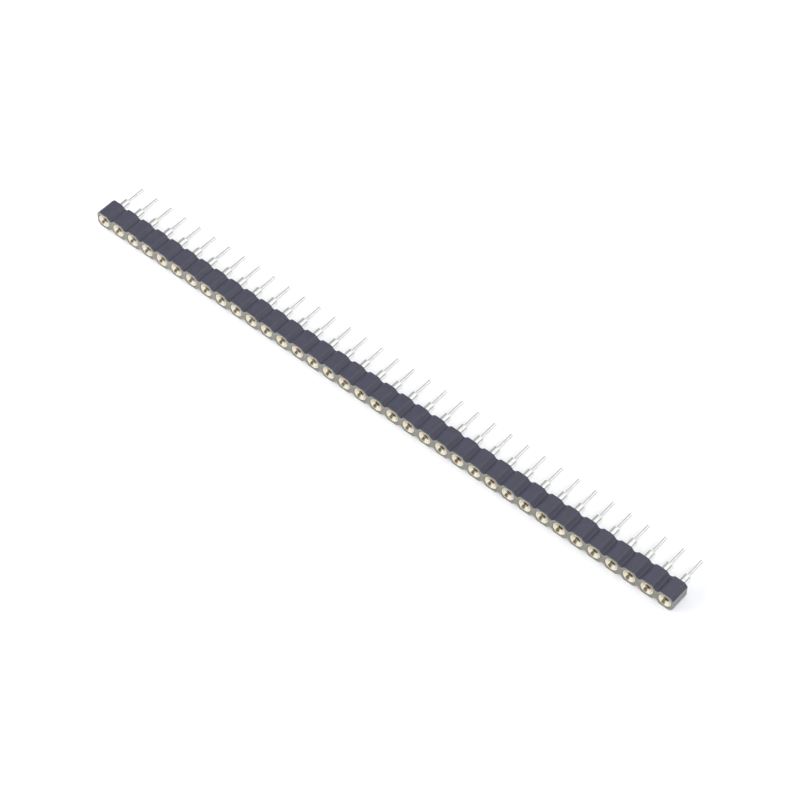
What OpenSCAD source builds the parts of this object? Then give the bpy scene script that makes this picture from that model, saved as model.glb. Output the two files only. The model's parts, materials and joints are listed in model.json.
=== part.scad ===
// Single-row socket strip: one moulded insulator that carries a row of turned sleeves,
// each with a spring clip pressed into its bore and a solder tail.
// The strip lies on one long side. The row runs along X, the contacts point from their
// mouths at -Y to their tails at +Y, and Z is up from the flats that the strip rests on.

/* [Row] */
// Number of contacts in the row
contacts = 36; // [2:1:43]
// Distance between neighbouring contacts
pitch = 2.54; // [2.1:0.02:4]
// How far each end is cut back from half a pitch beyond the last contact
end_trim = 0.14; // [0:0.02:0.2]
// Clips that share one node, because a node is kept for every sleeve
clips_per_group = 3; // [3:1:12]

/* [Insulator] */
// Height of the insulator, across the row
body_w = 2.42; // [2.1:0.02:4]
// Length of the insulator along a contact, from its mouth face to its solder face
body_l = 2.78; // [2:0.02:4]
// Depth of the snap groove between two contacts
groove_depth = 0.45; // [0.2:0.01:0.6]
// Width of each sloping flank of the groove
groove_flank_w = 0.46; // [0.2:0.01:0.6]
// Width of the flat at the bottom of the groove
groove_floor_w = 0.26; // [0.1:0.02:0.5]

/* [Sleeve] */
// Diameter of the head that shows in the mouth face
head_d = 1.8; // [1.6:0.02:1.9]
// Thickness of the head
head_l = 0.5; // [0.3:0.05:0.9]
// Break on the head's front edge
head_edge = 0.03; // [0.01:0.01:0.04]
// Diameter of the barrel behind the head
barrel_d = 1.16; // [1:0.02:1.44]
// Distance from the mouth face to the shoulder that stands on the board
shoulder_l = 4.3; // [4:0.05:6]
// Break on the barrel's shoulder
shoulder_edge = 0.06; // [0.02:0.02:0.2]
// Diameter of the blind bore
bore_d = 0.88; // [0.8:0.02:1]
// Included angle of the drill point that ends the bore
drill_angle = 118; // [90:1:150]
// Metal left between the drill point and the shoulder
bore_floor = 0.72; // [0.3:0.02:1]
// Width of the flat rim round the lead-in funnel
rim_w = 0.06; // [0.04:0.01:0.15]
// Depth of the lead-in funnel
funnel_l = 0.36; // [0.2:0.02:0.5]
// Distance from the mouth face to the edge of the barb that holds the sleeve
barb_start = 1.3; // [1.1:0.05:1.8]
// Length of the barb's ramp
barb_l = 0.5; // [0.2:0.05:0.7]

/* [Tail] */
// Diameter of the solder tail
tail_d = 0.5; // [0.4:0.02:0.7]
// Length of the solder tail past the shoulder
tail_l = 2.85; // [2:0.05:5]
// Bevel at the tail's tip
tail_tip = 0.1; // [0.02:0.02:0.18]

/* [Clip] */
// Thickness of the clip's wall
clip_wall = 0.07; // [0.05:0.01:0.1]
// Length of the closed collar that grips the sleeve's bore
collar_l = 0.6; // [0.4:0.05:0.8]
// Length of the tapering part of the fingers
finger_l = 1.3; // [1:0.05:1.5]
// Length of the straight tips that grip the pin
grip_l = 0.25; // [0.1:0.05:0.3]
// Diameter of the empty gap between the finger tips
grip_d = 0.36; // [0.3:0.02:0.44]
// Width of the slots between the fingers
slot_w = 0.14; // [0.08:0.02:0.2]
// Number of fingers
fingers = 4; // [3:1:6]

/* [Fits] */
// Radial clearance between the head and its seat in the insulator
head_clearance = 0.02; // [0.01:0.01:0.05]
// Radial clearance between the barrel and its hole, which the barb takes up
barrel_clearance = 0.05; // [0.02:0.01:0.08]
// Step from the foot of the funnel down to the clip
clip_recess = 0.04; // [0:0.01:0.1]

/* [Hidden] */
$fn = 48;
// How far a cutting tool runs past the face that it cuts
overcut = 0.5;

uncut_l = contacts * pitch;
row_l = uncut_l - 2 * end_trim;
overall_l = shoulder_l + tail_l;
mouth_y = -overall_l / 2;
axis_z = body_w / 2;
lobe_flat_w = pitch - groove_floor_w - 2 * groove_flank_w;
waist_w = body_w - 2 * groove_depth;

seat_d = head_d + 2 * head_clearance;
hole_d = barrel_d + 2 * barrel_clearance;
funnel_d = head_d - 2 * rim_w;
drill_l = bore_d / 2 / tan(drill_angle / 2);
bore_l = shoulder_l - bore_floor - drill_l;
clip_start = funnel_l + clip_recess;

clip_groups = ceil(contacts / clips_per_group);

function contact_x(i) = (i - (contacts + 1) / 2) * pitch;
function two_digits(i) = str(i < 10 ? "0" : "", i);
function first_clip(g) = (g - 1) * clips_per_group + 1;
function last_clip(g) = min(g * clips_per_group, contacts);
function sleeve_name(i) = str("sleeve_", two_digits(i));
function clips_name(g) = str("clips_", two_digits(first_clip(g)), "_", two_digits(last_clip(g)));

// Turns what is drawn along +Z from the mouth face into the strip's own frame
module lay_down() {
    translate([0, mouth_y, axis_z])
        rotate([-90, 0, 0])
            children();
}

module at_contact(i) {
    lay_down()
        translate([contact_x(i), 0, 0])
            children();
}

// Corners of one lobe's flat and flanks, on the side that faces up (1) or down (-1)
function lobe_side(x, side) = [
    [x - side * (lobe_flat_w / 2 + groove_flank_w), side * waist_w / 2],
    [x - side * lobe_flat_w / 2, side * body_w / 2],
    [x + side * lobe_flat_w / 2, side * body_w / 2],
    [x + side * (lobe_flat_w / 2 + groove_flank_w), side * waist_w / 2]
];

// Lobes along the top from left to right, and back along the bottom
module insulator_outline() {
    polygon(concat(
        [[-uncut_l / 2, -waist_w / 2], [-uncut_l / 2, waist_w / 2]],
        [for (i = [1:contacts]) each lobe_side(contact_x(i), 1)],
        [[uncut_l / 2, waist_w / 2], [uncut_l / 2, -waist_w / 2]],
        [for (i = [contacts:-1:1]) each lobe_side(contact_x(i), -1)]
    ));
}

// The stepped hole that a sleeve is pressed into from the mouth face
module sleeve_hole() {
    translate([0, 0, -overcut])
        cylinder(d = seat_d, h = head_l + overcut);
    cylinder(d = hole_d, h = body_l + overcut);
}

// Strips are cut from longer ones, a little inside the grooves at both ends
module cut_to_length() {
    translate([0, 0, body_l / 2])
        cube([row_l, body_w + 2 * overcut, body_l + 2 * overcut], center = true);
}

module insulator() {
    color("#2e2e33")
        lay_down()
            difference() {
                intersection() {
                    linear_extrude(body_l)
                        insulator_outline();
                    cut_to_length();
                }
                for (i = [1:contacts])
                    translate([contact_x(i), 0, 0])
                        sleeve_hole();
            }
}

// Turned in one piece: head, barbed barrel, shoulder and tail outside, funnel and bore inside
module sleeve() {
    color("silver")
        rotate_extrude()
            polygon([
                [funnel_d / 2, 0],
                [head_d / 2 - head_edge, 0],
                [head_d / 2, head_edge],
                [head_d / 2, head_l],
                [barrel_d / 2, head_l],
                [barrel_d / 2, barb_start],
                [hole_d / 2, barb_start],
                [barrel_d / 2, barb_start + barb_l],
                [barrel_d / 2, shoulder_l - shoulder_edge],
                [barrel_d / 2 - shoulder_edge, shoulder_l],
                [tail_d / 2, shoulder_l],
                [tail_d / 2, overall_l - tail_tip],
                [tail_d / 2 - tail_tip, overall_l],
                [0, overall_l],
                [0, bore_l + drill_l],
                [bore_d / 2, bore_l],
                [bore_d / 2, funnel_l]
            ]);
}

// Radial slots that part the clip's fingers
module finger_slots() {
    for (f = [1:fingers])
        rotate([0, 0, (f - 0.5) * 360 / fingers])
            translate([0, -slot_w / 2, clip_start + collar_l])
                cube([bore_d, slot_w, finger_l + grip_l + overcut]);
}

// A closed collar pressed into the bore, with fingers that close in on the pin
module clip() {
    grip_start = clip_start + collar_l + finger_l;
    color("goldenrod")
        difference() {
            rotate_extrude()
                polygon([
                    [bore_d / 2 - clip_wall, clip_start],
                    [bore_d / 2, clip_start],
                    [bore_d / 2, clip_start + collar_l],
                    [grip_d / 2 + clip_wall, grip_start],
                    [grip_d / 2 + clip_wall, grip_start + grip_l],
                    [grip_d / 2, grip_start + grip_l],
                    [grip_d / 2, grip_start],
                    [bore_d / 2 - clip_wall, clip_start + collar_l]
                ]);
            finger_slots();
        }
}

insulator();
for (i = [1:contacts])
    at_contact(i) sleeve();
for (g = [1:clip_groups])
    for (i = [first_clip(g):last_clip(g)]) at_contact(i) clip();
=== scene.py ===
"""Looks for the single-row socket strip: a moulded insulator, turned sleeves and spring clips.

Metres throughout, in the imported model's frame: X along the row, mouths at -Y, tails at +Y,
and Z up from the flats that the strip lies on.
"""

import json
import math
import random

import bmesh
import bpy
from mathutils import Matrix, Vector


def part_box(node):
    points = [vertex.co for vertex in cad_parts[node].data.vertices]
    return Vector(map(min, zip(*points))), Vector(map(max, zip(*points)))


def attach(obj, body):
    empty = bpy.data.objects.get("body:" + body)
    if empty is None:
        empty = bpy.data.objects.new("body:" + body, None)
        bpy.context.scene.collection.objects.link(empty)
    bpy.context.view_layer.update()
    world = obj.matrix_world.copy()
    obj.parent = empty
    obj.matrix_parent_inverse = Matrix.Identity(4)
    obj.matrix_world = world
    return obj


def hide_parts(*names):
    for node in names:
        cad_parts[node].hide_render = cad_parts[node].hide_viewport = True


MM = 0.001
# Places nearer than this are the same place
SAME = 1e-7
# A turned node's edges lie further apart than this
FINEST_STEP = 0.004 * MM

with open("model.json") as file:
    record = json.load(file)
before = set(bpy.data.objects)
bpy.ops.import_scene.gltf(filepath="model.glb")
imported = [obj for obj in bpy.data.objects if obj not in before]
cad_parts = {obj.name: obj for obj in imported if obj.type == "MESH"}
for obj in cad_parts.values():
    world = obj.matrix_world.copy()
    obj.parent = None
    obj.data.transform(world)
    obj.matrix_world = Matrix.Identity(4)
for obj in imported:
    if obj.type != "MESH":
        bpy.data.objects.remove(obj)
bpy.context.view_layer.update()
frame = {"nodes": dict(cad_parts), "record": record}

# ---------------------------------------------------------------- sizes from the frame

SLEEVES = sorted(n for n in frame["nodes"] if n.startswith("sleeve_"))
CLIPS = sorted(n for n in frame["nodes"] if n.startswith("clips_"))
MOUNTS = {m["name"]: m for m in frame["record"]["mounts"]}


def middle(node, axis):
    low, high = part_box(node)
    return (low[axis] + high[axis]) / 2


CONTACTS = len(SLEEVES)
FIRST_X = middle(SLEEVES[0], 0)
PITCH = (middle(SLEEVES[-1], 0) - FIRST_X) / (CONTACTS - 1)
AXIS_Z = middle(SLEEVES[0], 2)
MOUTH_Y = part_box("insulator")[0][1]
BODY_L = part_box("insulator")[1][1] - MOUTH_Y
BODY_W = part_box("insulator")[1][2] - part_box("insulator")[0][2]
END_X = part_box("insulator")[1][0]
TIP_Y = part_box(SLEEVES[0])[1][1]


def turned_radius(node, deep_from, deep_to, pick=max):
    """Largest or smallest radius of a turned node between two depths behind the mouth face."""
    x, found = middle(node, 0), []
    for v in frame["nodes"][node].data.vertices:
        if deep_from - SAME <= v.co.y - MOUTH_Y <= deep_to + SAME:
            found.append(math.hypot(v.co.x - x, v.co.z - AXIS_Z))
    return pick(found)


def depths_of(node):
    """Every depth behind the mouth face at which a turned node has an edge."""
    ys = sorted(v.co.y - MOUTH_Y for v in frame["nodes"][node].data.vertices)
    steps = [ys[0]]
    for y in ys:
        if y - steps[-1] > FINEST_STEP:
            steps.append(y)
    return steps


SOCKET = MOUNTS["socket_01"]
TAIL = MOUNTS["tail_01"]
BORE_START = SOCKET["pos_m"][1] - MOUTH_Y - SOCKET["dims"]["length_mm"] * MM / 2
BORE_END = BORE_START + SOCKET["dims"]["length_mm"] * MM
SHOULDER = TAIL["pos_m"][1] - MOUTH_Y - TAIL["dims"]["length_mm"] * MM / 2
TAIL_END = TIP_Y - MOUTH_Y
DEPTHS = depths_of(SLEEVES[0])
DRILL_END = max(d for d in DEPTHS if BORE_END - SAME < d < SHOULDER - 0.3 * MM)

TAIL_R = TAIL["dims"]["r_mm"] * MM
HEAD_R = (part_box(SLEEVES[0])[1][2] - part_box(SLEEVES[0])[0][2]) / 2
BORE_R = turned_radius(SLEEVES[0], BORE_END, BORE_END)
BARREL_R = turned_radius(SLEEVES[0], SHOULDER - 0.08 * MM, SHOULDER - 0.02 * MM)
FUNNEL_R = turned_radius(SLEEVES[0], 0, 0, min)
HEAD_L = max(
    d for d in DEPTHS if d < BODY_L and turned_radius(SLEEVES[0], d, d) > HEAD_R - 0.01 * MM
)
# The barb is the one step behind the head that is wider than the barrel
BARB_START, BARB_END = next(
    (here, after)
    for here, after in zip(DEPTHS, DEPTHS[1:])
    if here > HEAD_L + 0.1 * MM and turned_radius(SLEEVES[0], here, here) > BARREL_R + 0.02 * MM
)
BARB_R = turned_radius(SLEEVES[0], BARB_START, BARB_START)

# Forms too fine for the frame, in metres
SEAT_GAP = 0.02 * MM
GROOVE_DEEP = 0.45 * MM
GROOVE_FLANK = 0.46 * MM
GROOVE_FLOOR = 0.26 * MM
LOBE_ROUND = 0.16 * MM
FOOT_ROUND = 0.10 * MM
MOULD_EDGE = 0.024 * MM
SEAT_BREAK = 0.03 * MM
TURNED_EDGE = 0.03 * MM
BARB_SLACK = 0.004 * MM
TAIL_TIP = 0.1 * MM
BREAK_ROUGHNESS = 0.012 * MM
# Vertices closer than this are welded where two cells of the insulator meet
WELD = 0.0015 * MM
# How far in the middle of a quarter-round lies, as a share of its radius
QUARTER_ROUND = 0.29
# Slope of the lead-in from the contact's axis, in degrees, at the bore and at its lip
LEAD_IN_STEEP = 40
LEAD_IN_LIP = 57
# The barrel's rounded shoulder, in mm: (before the shoulder, in from the barrel)
SHOULDER_ROUND = ((0.06, 0), (0.02, 0.015), (0, 0.055))
# The fillet at the foot of the tail, in mm: (past the shoulder, out from the tail)
TAIL_FILLET = ((0, 0.04), (0.012, 0.012), (0.04, 0))
# The tail's rounded tip, in shares of TAIL_TIP: (before the tip, in from the tail)
TIP_ROUND = ((1, 0), (0.5, 0.14), (0.13, 0.5), (0, 1))

# Faces: directions round each hole of the insulator, rings between its two faces, and
# sides of a turned sleeve
HOLE_DIRECTIONS = 56
BODY_RINGS = 16
TURNED_SIDES = 44
# Edges sharper than this many degrees stay crisp
MOULDED_CRISP = 32
TURNED_CRISP = 50

# ---------------------------------------------------------------- shader helpers


PLASTIC_IOR = 1.7


def finish(name):
    """A new material, its tree and its Principled shader."""
    material = bpy.data.materials.new(name)
    material.use_nodes = True
    return material, material.node_tree, material.node_tree.nodes["Principled BSDF"]


def add(tree, kind, **settings):
    """A new node; each setting is the value of an input or else one of the node's own."""
    node = tree.nodes.new(kind)
    for key, value in settings.items():
        if key in node.inputs:
            node.inputs[key].default_value = value
        else:
            setattr(node, key, value)
    return node


def object_place(tree, stretch=(1, 1, 1)):
    """Object coordinates, stretched so that a grain can run longer one way than another."""
    where = add(tree, "ShaderNodeTexCoord")
    mapping = add(tree, "ShaderNodeMapping")
    mapping.inputs["Scale"].default_value = stretch
    tree.links.new(where.outputs["Object"], mapping.inputs["Vector"])
    return mapping.outputs["Vector"]


def grain(tree, size, detail, stretch=(1, 1, 1)):
    """A cloudy value round 0.5, whose features are about this many metres across."""
    noise = add(tree, "ShaderNodeTexNoise", Scale=1 / size, Detail=detail, Roughness=0.55)
    tree.links.new(object_place(tree, stretch), noise.inputs["Vector"])
    return noise.outputs["Fac"]


def spread(tree, value, low, high):
    """A grain's middle range, spread from one number to another."""
    node = add(tree, "ShaderNodeMapRange")
    for key, number in (("From Min", 0.35), ("From Max", 0.65), ("To Min", low), ("To Max", high)):
        node.inputs[key].default_value = number
    tree.links.new(value, node.inputs["Value"])
    return node.outputs["Result"]


def two_tones(tree, value, dark, light):
    """A grain's middle range, as a blend from one colour to another."""
    ramp = add(tree, "ShaderNodeValToRGB")
    ramp.color_ramp.elements[0].position = 0.38
    ramp.color_ramp.elements[0].color = (*dark, 1)
    ramp.color_ramp.elements[1].position = 0.64
    ramp.color_ramp.elements[1].color = (*light, 1)
    tree.links.new(value, ramp.inputs["Fac"])
    return ramp.outputs["Color"]


def raised(tree, shader, layers):
    """Stacks bumps: each layer is (height, strength, distance in metres)."""
    normal = None
    for height, strength, distance in layers:
        bump = add(tree, "ShaderNodeBump", Strength=strength, Distance=distance)
        tree.links.new(height, bump.inputs["Height"])
        if normal is not None:
            tree.links.new(normal, bump.inputs["Normal"])
        normal = bump.outputs["Normal"]
    tree.links.new(normal, shader.inputs["Normal"])


# ---------------------------------------------------------------- finishes


def black_plastic(name, dark, light, smooth, rough, pit_depth, haze):
    """Glass-filled plastic: a slow flow pattern under the fine pits of a spark-eroded mould.

    The glass fibres near the surface give it a faint haze at a grazing view.
    """
    material, tree, shader = finish(name)
    flow = grain(tree, 0.9 * MM, 4)
    pits = grain(tree, 0.05 * MM, 2)
    tree.links.new(two_tones(tree, flow, dark, light), shader.inputs["Base Color"])
    tree.links.new(spread(tree, flow, smooth, rough), shader.inputs["Roughness"])
    shader.inputs["IOR"].default_value = PLASTIC_IOR
    shader.inputs["Sheen Weight"].default_value = haze
    shader.inputs["Sheen Roughness"].default_value = 0.5
    raised(tree, shader, [(pits, 0.5, pit_depth), (flow, 0.2, 0.010 * MM)])
    return material


def broken_plastic_painted_light():
    """The same plastic where the strip was parted, with fine striations along Z; its paler colour
    is painted light, for the light the end face catches.
    """
    material, tree, shader = finish("broken_plastic_painted_light")
    lines = grain(tree, 0.07 * MM, 3, stretch=(1, 1, 0.07))
    # Painted light: these tones are several times paler than the black plastic; the striations are
    # the face's own.
    tree.links.new(
        two_tones(tree, lines, (0.20, 0.198, 0.19), (0.35, 0.347, 0.335)),
        shader.inputs["Base Color"],
    )
    tree.links.new(spread(tree, lines, 0.45, 0.65), shader.inputs["Roughness"])
    shader.inputs["IOR"].default_value = PLASTIC_IOR
    raised(tree, shader, [(lines, 0.5, 0.01 * MM)])
    return material


def turned_metal(name, dark, light, smooth, rough, feed):
    """Plated brass; the tool's marks run round each contact, about one feed apart."""
    material, tree, shader = finish(name)
    cloud = grain(tree, 0.5 * MM, 3)
    marks = grain(tree, feed, 2, stretch=(0.04, 1, 0.04))
    tree.links.new(two_tones(tree, cloud, dark, light), shader.inputs["Base Color"])
    shader.inputs["Metallic"].default_value = 1.0
    tree.links.new(spread(tree, cloud, smooth, rough), shader.inputs["Roughness"])
    raised(tree, shader, [(marks, 0.12, 0.002 * MM)])
    return material


PLASTIC = black_plastic(
    "moulded_plastic",
    dark=(0.031, 0.031, 0.057),
    light=(0.040, 0.0395, 0.069),
    smooth=0.48,
    rough=0.60,
    pit_depth=0.008 * MM,
    haze=0.07,
)
# Painted light: the mouth face is the same black plastic, painted several times paler to stand for
# the light that face catches from the front and the floor.
MOUTH = black_plastic(
    "mouth_face_painted_light",
    dark=(0.225, 0.216, 0.176),
    light=(0.280, 0.268, 0.222),
    smooth=0.40,
    rough=0.52,
    pit_depth=0.007 * MM,
    haze=0,
)
BROKEN = broken_plastic_painted_light()
SPRING = turned_metal(
    "sprung_gilt", (0.80, 0.71, 0.50), (0.88, 0.80, 0.60), 0.34, 0.46, 0.05 * MM
)
TIN = turned_metal(
    "tin_plate", (0.83, 0.825, 0.81), (0.90, 0.895, 0.88), 0.12, 0.20, 0.03 * MM
)
GILT = turned_metal(
    "thin_gold_plate", (0.765, 0.70, 0.56), (0.825, 0.77, 0.64), 0.14, 0.22, 0.03 * MM
)

# ---------------------------------------------------------------- the row, by Geometry Nodes


def row_tree(name, surface, mark, marked_surface):
    """Repeats the incoming shape along the row; faces that carry the mark take their own material.
    """
    tree = bpy.data.node_groups.new(name, "GeometryNodeTree")
    for label, way, kind in (
        ("Shape", "INPUT", "Geometry"),
        ("Copies", "INPUT", "Int"),
        ("Pitch", "INPUT", "Float"),
        ("First", "INPUT", "Vector"),
        ("Row", "OUTPUT", "Geometry"),
    ):
        tree.interface.new_socket(label, in_out=way, socket_type="NodeSocket" + kind)
    given = tree.nodes.new("NodeGroupInput")
    result = tree.nodes.new("NodeGroupOutput")
    line = tree.nodes.new("GeometryNodeMeshLine")
    step = tree.nodes.new("ShaderNodeCombineXYZ")
    place = tree.nodes.new("GeometryNodeInstanceOnPoints")
    real = tree.nodes.new("GeometryNodeRealizeInstances")
    coat = tree.nodes.new("GeometryNodeSetMaterial")
    coat.inputs["Material"].default_value = surface
    marked = tree.nodes.new("GeometryNodeInputNamedAttribute")
    marked.data_type = "BOOLEAN"
    marked.inputs["Name"].default_value = mark
    touch = tree.nodes.new("GeometryNodeSetMaterial")
    touch.inputs["Material"].default_value = marked_surface
    join = tree.links.new
    join(given.outputs["Copies"], line.inputs["Count"])
    join(given.outputs["First"], line.inputs["Start Location"])
    join(given.outputs["Pitch"], step.inputs["X"])
    join(step.outputs["Vector"], line.inputs["Offset"])
    join(line.outputs["Mesh"], place.inputs["Points"])
    join(given.outputs["Shape"], place.inputs["Instance"])
    join(place.outputs["Instances"], real.inputs["Geometry"])
    join(real.outputs["Geometry"], coat.inputs["Geometry"])
    join(coat.outputs["Geometry"], touch.inputs["Geometry"])
    join(marked.outputs["Attribute"], touch.inputs["Selection"])
    join(touch.outputs["Geometry"], result.inputs["Row"])
    return tree


def spread_along_row(name, shape, tree, copies, first_x):
    """Runs the row tree on a shape, and returns the result as one plain mesh object."""
    maker = bpy.data.objects.new(name + "_maker", shape)
    bpy.context.scene.collection.objects.link(maker)
    modifier = maker.modifiers.new("row", "NODES")
    modifier.node_group = tree
    values = {"Copies": copies, "Pitch": PITCH, "First": (first_x, 0.0, 0.0)}
    for item in tree.interface.items_tree:
        if item.in_out == "INPUT" and item.name in values:
            modifier[item.identifier] = values[item.name]
    graph = bpy.context.evaluated_depsgraph_get()
    graph.update()
    mesh = bpy.data.meshes.new_from_object(maker.evaluated_get(graph))
    bpy.data.objects.remove(maker)
    piece = bpy.data.objects.new(name, mesh)
    bpy.context.scene.collection.objects.link(piece)
    return piece


def as_mesh(name, bm, surfaces):
    """Turns what was built into a mesh with these finishes."""
    mesh = bpy.data.meshes.new(name)
    for surface in surfaces:
        mesh.materials.append(surface)
    bm.to_mesh(mesh)
    bm.free()
    return mesh


# ---------------------------------------------------------------- the insulator


def turned(vector, angle):
    return Vector((
        vector.x * math.cos(angle) - vector.y * math.sin(angle),
        vector.x * math.sin(angle) + vector.y * math.cos(angle),
    ))


def rounded(points, radii, steps=5):
    """An open path with each inner corner replaced by an arc of the given radius."""
    path = [points[0]]
    for before, corner, after, radius in zip(points, points[1:-1], points[2:], radii):
        back = (before - corner).normalized()
        on = (after - corner).normalized()
        half = back.angle(on) / 2
        # An arc takes a little less than half of the shorter side
        shorter = min((before - corner).length, (after - corner).length)
        reach = min(radius / math.tan(half), shorter / 2.05)
        size = reach * math.tan(half)
        centre = corner + (back + on).normalized() * (size / math.sin(half))
        start, end = corner + back * reach - centre, corner + on * reach - centre
        sweep = -start.angle_signed(end)
        path += [centre + turned(start, sweep * k / steps) for k in range(steps + 1)]
    path.append(points[-1])
    return path


SURFACES = (PLASTIC, MOUTH, BROKEN)


def lobe_top(left, right, inset):
    """The upper half of one cell's outline, from its left side to its right side."""
    slope = math.atan2(GROOVE_DEEP, GROOVE_FLANK)
    shift = inset * math.tan(slope / 2)
    flat = (PITCH - GROOVE_FLOOR) / 2 - GROOVE_FLANK - shift
    foot = flat + GROOVE_FLANK
    top, floor = BODY_W / 2 - inset, BODY_W / 2 - GROOVE_DEEP - inset
    path = rounded(
        [
            Vector((-PITCH / 2, floor)),
            Vector((-foot, floor)),
            Vector((-flat, top)),
            Vector((flat, top)),
            Vector((foot, floor)),
            Vector((PITCH / 2, floor)),
        ],
        [FOOT_ROUND + inset, LOBE_ROUND - inset, LOBE_ROUND - inset, FOOT_ROUND + inset],
    )
    return cut_short(path, left, right)


def height_on(path, x):
    """Height of an open path at a place along the row."""
    for a, b in zip(path, path[1:]):
        if a.x <= x <= b.x and b.x > a.x:
            return a.y + (b.y - a.y) * (x - a.x) / (b.x - a.x)
    return path[0].y if x <= path[0].x else path[-1].y


def cut_short(path, left, right):
    """The part of an open path between two places along the row."""
    kept = [p for p in path if left < p.x < right]
    first, last = (Vector((x, height_on(path, x))) for x in (left, right))
    return [first, *kept, last]


def closed_outline(left, right, inset):
    """One cell's whole outline, the same above and below the contact's axis."""
    top = lobe_top(left, right, inset)
    return top + [Vector((p.x, -p.y)) for p in reversed(top)]


def reach_of(outline, angle):
    """Distance from the contact's axis to the outline in one direction."""
    ray = Vector((math.cos(angle), math.sin(angle)))
    best = None
    for a, b in zip(outline, outline[1:] + outline[:1]):
        edge = b - a
        cross = ray.x * edge.y - ray.y * edge.x
        if abs(cross) < 1e-15:
            continue
        along = (a.x * edge.y - a.y * edge.x) / cross
        share = (a.x * ray.y - a.y * ray.x) / cross
        if along > 0 and -1e-6 <= share <= 1 + 1e-6:
            best = along if best is None else min(best, along)
    return best


def cell_directions(outline):
    """Directions from the contact's axis: one to each corner, and even steps between them."""
    corners = {direction_of(p) for p in outline}
    found = set(corners)
    for k in range(HOLE_DIRECTIONS):
        angle = round(-math.pi + (k + 0.5) * math.tau / HOLE_DIRECTIONS, 5)
        if all(abs(angle - other) > 0.03 for other in found):
            found.add(angle)
    return sorted(found)


def direction_of(point):
    return round(math.atan2(point.y, point.x), 5)


def cell_levels():
    """(depth, inset) of each ring from the mouth face to the solder face, with rounded edges."""
    edge, middle_of_round = MOULD_EDGE, MOULD_EDGE * QUARTER_ROUND
    start = [(0, edge), (middle_of_round, middle_of_round), (edge, 0)]
    between = (BODY_L - 2 * edge) / BODY_RINGS
    return (
        start
        + [(edge + between * k, 0) for k in range(1, BODY_RINGS)]
        + [(BODY_L - deep, inset) for deep, inset in reversed(start)]
    )


def stepped_hole():
    """(depth, radius) of the hole from the mouth face to the solder face."""
    seat = HEAD_R + SEAT_GAP
    return (
        (0, seat + SEAT_BREAK),
        (SEAT_BREAK, seat),
        (HEAD_L, seat),
        (HEAD_L, BARB_R),
        (BODY_L - SEAT_BREAK, BARB_R),
        (BODY_L, BARB_R + SEAT_BREAK),
    )


def insulator_cell(name, left, right, closed_left=False, closed_right=False, seed=0):
    """One contact's share of the insulator, open at the sides that meet a neighbour."""
    base = closed_outline(left, right, 0)
    angles = cell_directions(base)
    side_corners = {
        direction_of(p): p for p in base if min(abs(p.x - left), abs(p.x - right)) < SAME
    }
    chance = random.Random(seed)
    bm = bmesh.new()
    mouth_mark = bm.faces.layers.bool.new("mouth_face")
    rings, on_side = [], []
    for deep, inset in cell_levels():
        outline = closed_outline(left, right, inset)
        tear = chance.uniform(0, BREAK_ROUGHNESS) if (closed_left or closed_right) else 0
        ring, sides = [], []
        for angle in angles:
            far = reach_of(outline, angle)
            x, z = far * math.cos(angle), far * math.sin(angle)
            if angle in side_corners:
                corner = side_corners[angle]
                x, z = corner.x, math.copysign(abs(corner.y) - inset, corner.y)
            side = -1 if x < left + SAME else 1 if x > right - SAME else 0
            if side < 0 and closed_left:
                x += tear + inset / 2
            if side > 0 and closed_right:
                x -= tear + inset / 2
            ring.append(bm.verts.new((x, MOUTH_Y + deep, AXIS_Z + z)))
            sides.append(side)
        rings.append(ring)
        on_side.append(sides)
    holes = [
        [
            bm.verts.new((radius * math.cos(a), MOUTH_Y + deep, AXIS_Z + radius * math.sin(a)))
            for a in angles
        ]
        for deep, radius in stepped_hole()
    ]
    for k in range(len(angles)):
        n = (k + 1) % len(angles)
        for sides, ring, onward in zip(on_side, rings, rings[1:]):
            side = sides[k] if sides[k] == sides[n] else 0
            if (side < 0 and not closed_left) or (side > 0 and not closed_right):
                continue
            face = bm.faces.new((ring[k], ring[n], onward[n], onward[k]))
            # Parted sides take the plastic painted paler, as painted light.
            face.material_index = SURFACES.index(BROKEN if side else PLASTIC)
        front = bm.faces.new((rings[0][n], rings[0][k], holes[0][k], holes[0][n]))
        # The mouth face takes the copy of the plastic painted paler, as painted light.
        front.material_index = SURFACES.index(MOUTH)
        front[mouth_mark] = True
        bm.faces.new((rings[-1][k], rings[-1][n], holes[-1][n], holes[-1][k]))
        for here, onward in zip(holes, holes[1:]):
            bm.faces.new((here[n], here[k], onward[k], onward[n]))
    return as_mesh(name, bm, SURFACES)


def moulded_insulator():
    """The middle cells by Geometry Nodes, closed by an end cell on each side."""
    half = PITCH / 2
    last_x = FIRST_X + (CONTACTS - 1) * PITCH
    to_end = END_X - last_x
    tree = row_tree("insulator_row", PLASTIC, "mouth_face", MOUTH)
    middle_cell = insulator_cell("insulator_cell", -half, half)
    row = spread_along_row(
        "moulded_insulator", middle_cell, tree, CONTACTS - 2, FIRST_X + PITCH
    )
    ends = (
        (insulator_cell("left_end", -to_end, half, closed_left=True, seed=3), FIRST_X),
        (insulator_cell("right_end", -half, to_end, closed_right=True, seed=8), last_x),
    )
    bm = bmesh.new()
    bm.from_mesh(row.data)
    for mesh, x in ends:
        mesh.transform(Matrix.Translation((x, 0, 0)))
        bm.from_mesh(mesh)
    bmesh.ops.remove_doubles(bm, verts=bm.verts, dist=WELD)
    bmesh.ops.recalc_face_normals(bm, faces=bm.faces)
    bm.to_mesh(row.data)
    bm.free()
    return row


# ---------------------------------------------------------------- the sleeves


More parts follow.
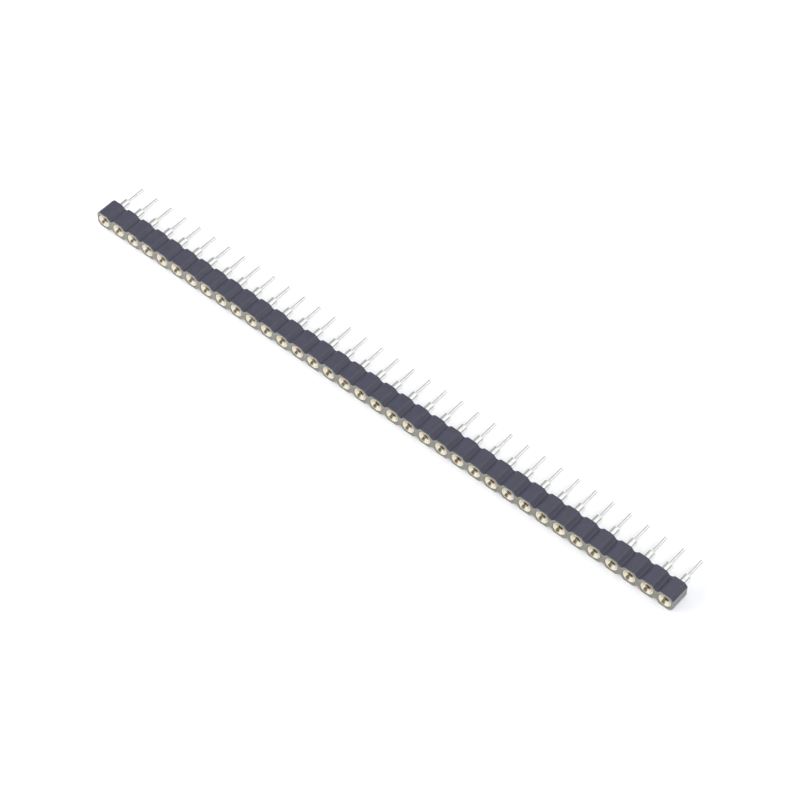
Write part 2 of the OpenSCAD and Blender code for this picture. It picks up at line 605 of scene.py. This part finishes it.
def lead_in(steps=9):
    """The funnel from the bore out to the rim, steep at the bore and rounded over at the lip."""
    steep, shallow = math.radians(LEAD_IN_STEEP), math.radians(LEAD_IN_LIP)
    sweep = [steep + (shallow - steep) * k / steps for k in range(steps + 1)]
    across = [math.cos(steep) - math.cos(a) for a in sweep]
    along = [math.sin(a) - math.sin(steep) for a in sweep]
    return [
        (BORE_START * (1 - rise / along[-1]), BORE_R + (FUNNEL_R - BORE_R) * out / across[-1])
        for out, rise in zip(across, along)
    ]


def sleeve_profile():
    """(depth, radius, gilded) from the drill point out through the mouth to the tail's tip."""
    edge, middle_of_round = TURNED_EDGE, TURNED_EDGE * QUARTER_ROUND
    inside = [(DRILL_END, 0), (BORE_END, BORE_R), *lead_in()]
    outside = [
        (0, HEAD_R - edge),
        (middle_of_round, HEAD_R - middle_of_round),
        (edge, HEAD_R),
        (HEAD_L - edge, HEAD_R),
        (HEAD_L, HEAD_R - edge),
        (HEAD_L, BARREL_R),
        (BARB_START, BARREL_R),
        (BARB_START, BARB_R - BARB_SLACK),
        (BARB_END, BARREL_R),
        *((SHOULDER - back * MM, BARREL_R - cut * MM) for back, cut in SHOULDER_ROUND),
        *((SHOULDER + on * MM, TAIL_R + out * MM) for on, out in TAIL_FILLET),
        *((TAIL_END - TAIL_TIP * back, TAIL_R - TAIL_TIP * cut) for back, cut in TIP_ROUND),
        (TAIL_END, 0),
    ]
    return [(*point, True) for point in inside] + [(*point, False) for point in outside]


def lathe(name, profile, sides):
    """Turns a profile about the contact's axis into one closed mesh."""
    bm = bmesh.new()
    mark = bm.faces.layers.bool.new("gilded")
    rings = []
    for deep, radius, _ in profile:
        y = MOUTH_Y + deep
        if radius == 0:
            rings.append([bm.verts.new((0, y, AXIS_Z))] * sides)
            continue
        rings.append([
            bm.verts.new((
                radius * math.cos(math.tau * k / sides),
                y,
                AXIS_Z + radius * math.sin(math.tau * k / sides),
            ))
            for k in range(sides)
        ])
    for (_, _, gilded), ring, onward in zip(profile, rings, rings[1:]):
        for k in range(sides):
            n = (k + 1) % sides
            corners = []
            for vert in (ring[k], ring[n], onward[n], onward[k]):
                if vert not in corners:
                    corners.append(vert)
            if len(corners) > 2:
                face = bm.faces.new(corners)
                face.smooth = True
                face[mark] = gilded
    bmesh.ops.recalc_face_normals(bm, faces=bm.faces)
    return as_mesh(name, bm, (TIN, GILT))


def turned_sleeves():
    shape = lathe("turned_sleeve", sleeve_profile(), TURNED_SIDES)
    tree = row_tree("sleeve_row", TIN, "gilded", GILT)
    return spread_along_row("turned_sleeves", shape, tree, CONTACTS, FIRST_X)


def smooth_by_angle(piece, degrees):
    """Smooth shading that keeps the crisp edges of a moulding or a turned part."""
    bm = bmesh.new()
    bm.from_mesh(piece.data)
    limit = math.radians(degrees)
    for face in bm.faces:
        face.smooth = True
    for edge in bm.edges:
        edge.smooth = len(edge.link_faces) == 2 and edge.calc_face_angle(0) < limit
    bm.to_mesh(piece.data)
    bm.free()


insulator = moulded_insulator()
smooth_by_angle(insulator, MOULDED_CRISP)
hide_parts("insulator")
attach(insulator, "root")

sleeves = turned_sleeves()
smooth_by_angle(sleeves, TURNED_CRISP)
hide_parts(*SLEEVES)
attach(sleeves, "root")

for name in CLIPS:
    frame["nodes"][name].data.materials[0] = SPRING

# ---------------------------------------------------------------- floor, light and camera

FLOOR_HALF = 0.45
# A hair below the strip, so that the two don't share a plane
FLOOR_DROP = 0.004 * MM
FLOOR_COLOUR = 0.74
FLOOR_GLOW = 0.38
WORLD_LIGHT = 0.55

# Cards round the strip, grey and bright:
# (name, direction, degrees fully covered, degrees to its edge, colour)
CARDS = (
    ("left_card", (-0.72, 0.46, 0.51), 23, 33, (0.45, 0.45, 0.47)),
    ("right_card", (0.88, 0.47, 0.02), 19, 29, (0.34, 0.35, 0.34)),
    ("front_card", (0.54, -0.83, 0.14), 33, 58, (0.22, 0.195, 0.145)),
    ("front_panel", (-0.58, -0.76, 0.30), 13, 25, (1.16, 1.18, 1.31)),
)
CARD_DISTANCE = 0.9
# Each next card hangs this much nearer, in front of the last
CARD_STEP = 0.02
CARD_SIDES = 64

# Lamps aimed at the strip: (name, place, size, watts, tint, seen by mirrors)
SOFT_BOXES = (
    ("overhead", (0.203, 0.256, 0.436), (0.28, 0.28), 0.44, (1, 1, 1), True),
    ("left_side", (-0.42, -0.04, 0.24), (0.24, 0.20), 0.85, (1, 1, 1), False),
    ("right_high", (0.35, 0.06, 0.35), (0.24, 0.24), 0.44, (0.78, 0.88, 1.10), True),
    ("front_fill", (-0.28, -0.30, 0.16), (0.30, 0.20), 0.92, (1, 1, 1), False),
)

VIEW_AZIMUTH = math.radians(-40.57)
VIEW_ELEVATION = math.radians(51.78)
VIEW_DISTANCE = 304.56 * MM
VIEW_LENS = 114.13
AIM_RIGHT = 3.863 * MM
AIM_DOWN = 0.01 * MM


def seen_directly(tree):
    """1 for rays from the camera, a mirror or glass, and 0 for the rays that carry soft light."""
    path = add(tree, "ShaderNodeLightPath")
    either = add(tree, "ShaderNodeMath", operation="MAXIMUM")
    tree.links.new(path.outputs["Is Camera Ray"], either.inputs[0])
    tree.links.new(path.outputs["Is Glossy Ray"], either.inputs[1])
    any_of = add(tree, "ShaderNodeMath", operation="MAXIMUM")
    tree.links.new(either.outputs[0], any_of.inputs[0])
    tree.links.new(path.outputs["Is Transmission Ray"], any_of.inputs[1])
    return any_of.outputs[0]


def pale_floor():
    """A white sweep that stays white to the eye and to mirrors, and still takes a shadow."""
    mesh = bpy.data.meshes.new("pale_floor")
    corners = [
        (FLOOR_HALF * x, FLOOR_HALF * y, -FLOOR_DROP)
        for x, y in ((-1, -1), (1, -1), (1, 1), (-1, 1))
    ]
    mesh.from_pydata(corners, [], [(0, 1, 2, 3)])
    floor = bpy.data.objects.new("pale_floor", mesh)
    bpy.context.scene.collection.objects.link(floor)
    material, tree, shader = finish("pale_floor")
    shader.inputs["Base Color"].default_value = (*[FLOOR_COLOUR] * 3, 1)
    shader.inputs["Roughness"].default_value = 0.9
    glow = add(tree, "ShaderNodeMath", operation="MULTIPLY")
    glow.inputs[1].default_value = FLOOR_GLOW
    tree.links.new(seen_directly(tree), glow.inputs[0])
    shader.inputs["Emission Color"].default_value = (1, 1, 1, 1)
    tree.links.new(glow.outputs[0], shader.inputs["Emission Strength"])
    mesh.materials.append(material)


def card(name, direction, inner, outer, colour, distance):
    """A round card, faded towards its edge, that only mirrors see."""
    facing = Vector(direction).normalized()
    across = facing.orthogonal().normalized()
    along = facing.cross(across)
    radius = distance * math.tan(math.radians(outer))
    corners = [
        facing * distance + (across * math.cos(turn) + along * math.sin(turn)) * radius
        for turn in (math.tau * k / CARD_SIDES for k in range(CARD_SIDES))
    ]
    mesh = bpy.data.meshes.new(name)
    mesh.from_pydata(corners, [], [tuple(range(CARD_SIDES))])
    material, tree, shader = finish(name)
    toward = add(tree, "ShaderNodeVectorMath", operation="NORMALIZE")
    tree.links.new(object_place(tree), toward.inputs[0])
    nearness = add(tree, "ShaderNodeVectorMath", operation="DOT_PRODUCT")
    nearness.inputs[1].default_value = facing
    tree.links.new(toward.outputs["Vector"], nearness.inputs[0])
    covered = add(tree, "ShaderNodeMapRange", interpolation_type="SMOOTHSTEP")
    covered.inputs["From Min"].default_value = math.cos(math.radians(outer))
    covered.inputs["From Max"].default_value = math.cos(math.radians(inner))
    tree.links.new(nearness.outputs["Value"], covered.inputs["Value"])
    surface = add(tree, "ShaderNodeEmission")
    surface.inputs["Color"].default_value = (*colour, 1)
    clear = add(tree, "ShaderNodeBsdfTransparent")
    mix = add(tree, "ShaderNodeMixShader")
    tree.links.new(covered.outputs["Result"], mix.inputs["Fac"])
    tree.links.new(clear.outputs[0], mix.inputs[1])
    tree.links.new(surface.outputs[0], mix.inputs[2])
    tree.nodes.remove(shader)
    tree.links.new(mix.outputs[0], tree.nodes["Material Output"].inputs["Surface"])
    mesh.materials.append(material)
    shown = bpy.data.objects.new(name, mesh)
    for way in ("camera", "diffuse", "transmission", "shadow", "volume_scatter"):
        setattr(shown, "visible_" + way, False)
    bpy.context.scene.collection.objects.link(shown)


def studio_world():
    """Even light all round; the eye, mirrors and glass see it as plain white."""
    world = bpy.data.worlds.new("studio")
    bpy.context.scene.world = world
    world.use_nodes = True
    tree = world.node_tree
    tree.nodes.clear()
    light = add(tree, "ShaderNodeBackground")
    light.inputs["Color"].default_value = (*[WORLD_LIGHT] * 3, 1)
    white = add(tree, "ShaderNodeBackground")
    white.inputs["Color"].default_value = (1, 1, 1, 1)
    mix = add(tree, "ShaderNodeMixShader")
    out = add(tree, "ShaderNodeOutputWorld")
    tree.links.new(seen_directly(tree), mix.inputs["Fac"])
    tree.links.new(light.outputs[0], mix.inputs[1])
    tree.links.new(white.outputs[0], mix.inputs[2])
    tree.links.new(mix.outputs[0], out.inputs["Surface"])


def soft_box(name, place, size, watts, tint, in_mirrors):
    lamp = bpy.data.lights.new(name, "AREA")
    lamp.shape = "RECTANGLE"
    lamp.size, lamp.size_y = size
    lamp.energy = watts
    lamp.color = tint
    box = bpy.data.objects.new(name, lamp)
    box.location = place
    box.rotation_euler = (-Vector(place)).to_track_quat("-Z", "Y").to_euler()
    box.visible_glossy = in_mirrors
    bpy.context.scene.collection.objects.link(box)


def studio_camera():
    """Looks down on the mouths from the front right, aimed a little right of their middle."""
    forward = Vector((
        math.sin(VIEW_AZIMUTH) * math.cos(VIEW_ELEVATION),
        math.cos(VIEW_AZIMUTH) * math.cos(VIEW_ELEVATION),
        -math.sin(VIEW_ELEVATION),
    ))
    right = forward.cross(Vector((0, 0, 1))).normalized()
    down = forward.cross(right)
    middle_of_mouths = Vector((0, MOUTH_Y, AXIS_Z))
    lens = bpy.data.cameras.new("studio_camera")
    lens.lens = VIEW_LENS
    lens.sensor_width = 36
    lens.clip_start = 0.01
    camera = bpy.data.objects.new("studio_camera", lens)
    camera.location = (
        middle_of_mouths + right * AIM_RIGHT + down * AIM_DOWN - forward * VIEW_DISTANCE
    )
    camera.rotation_euler = forward.to_track_quat("-Z", "Y").to_euler()
    bpy.context.scene.collection.objects.link(camera)
    bpy.context.scene.camera = camera


pale_floor()
studio_world()
for step, settings in enumerate(CARDS):
    card(*settings, CARD_DISTANCE - CARD_STEP * step)
for settings in SOFT_BOXES:
    soft_box(*settings)
studio_camera()
bpy.context.scene.view_settings.view_transform = "Standard"
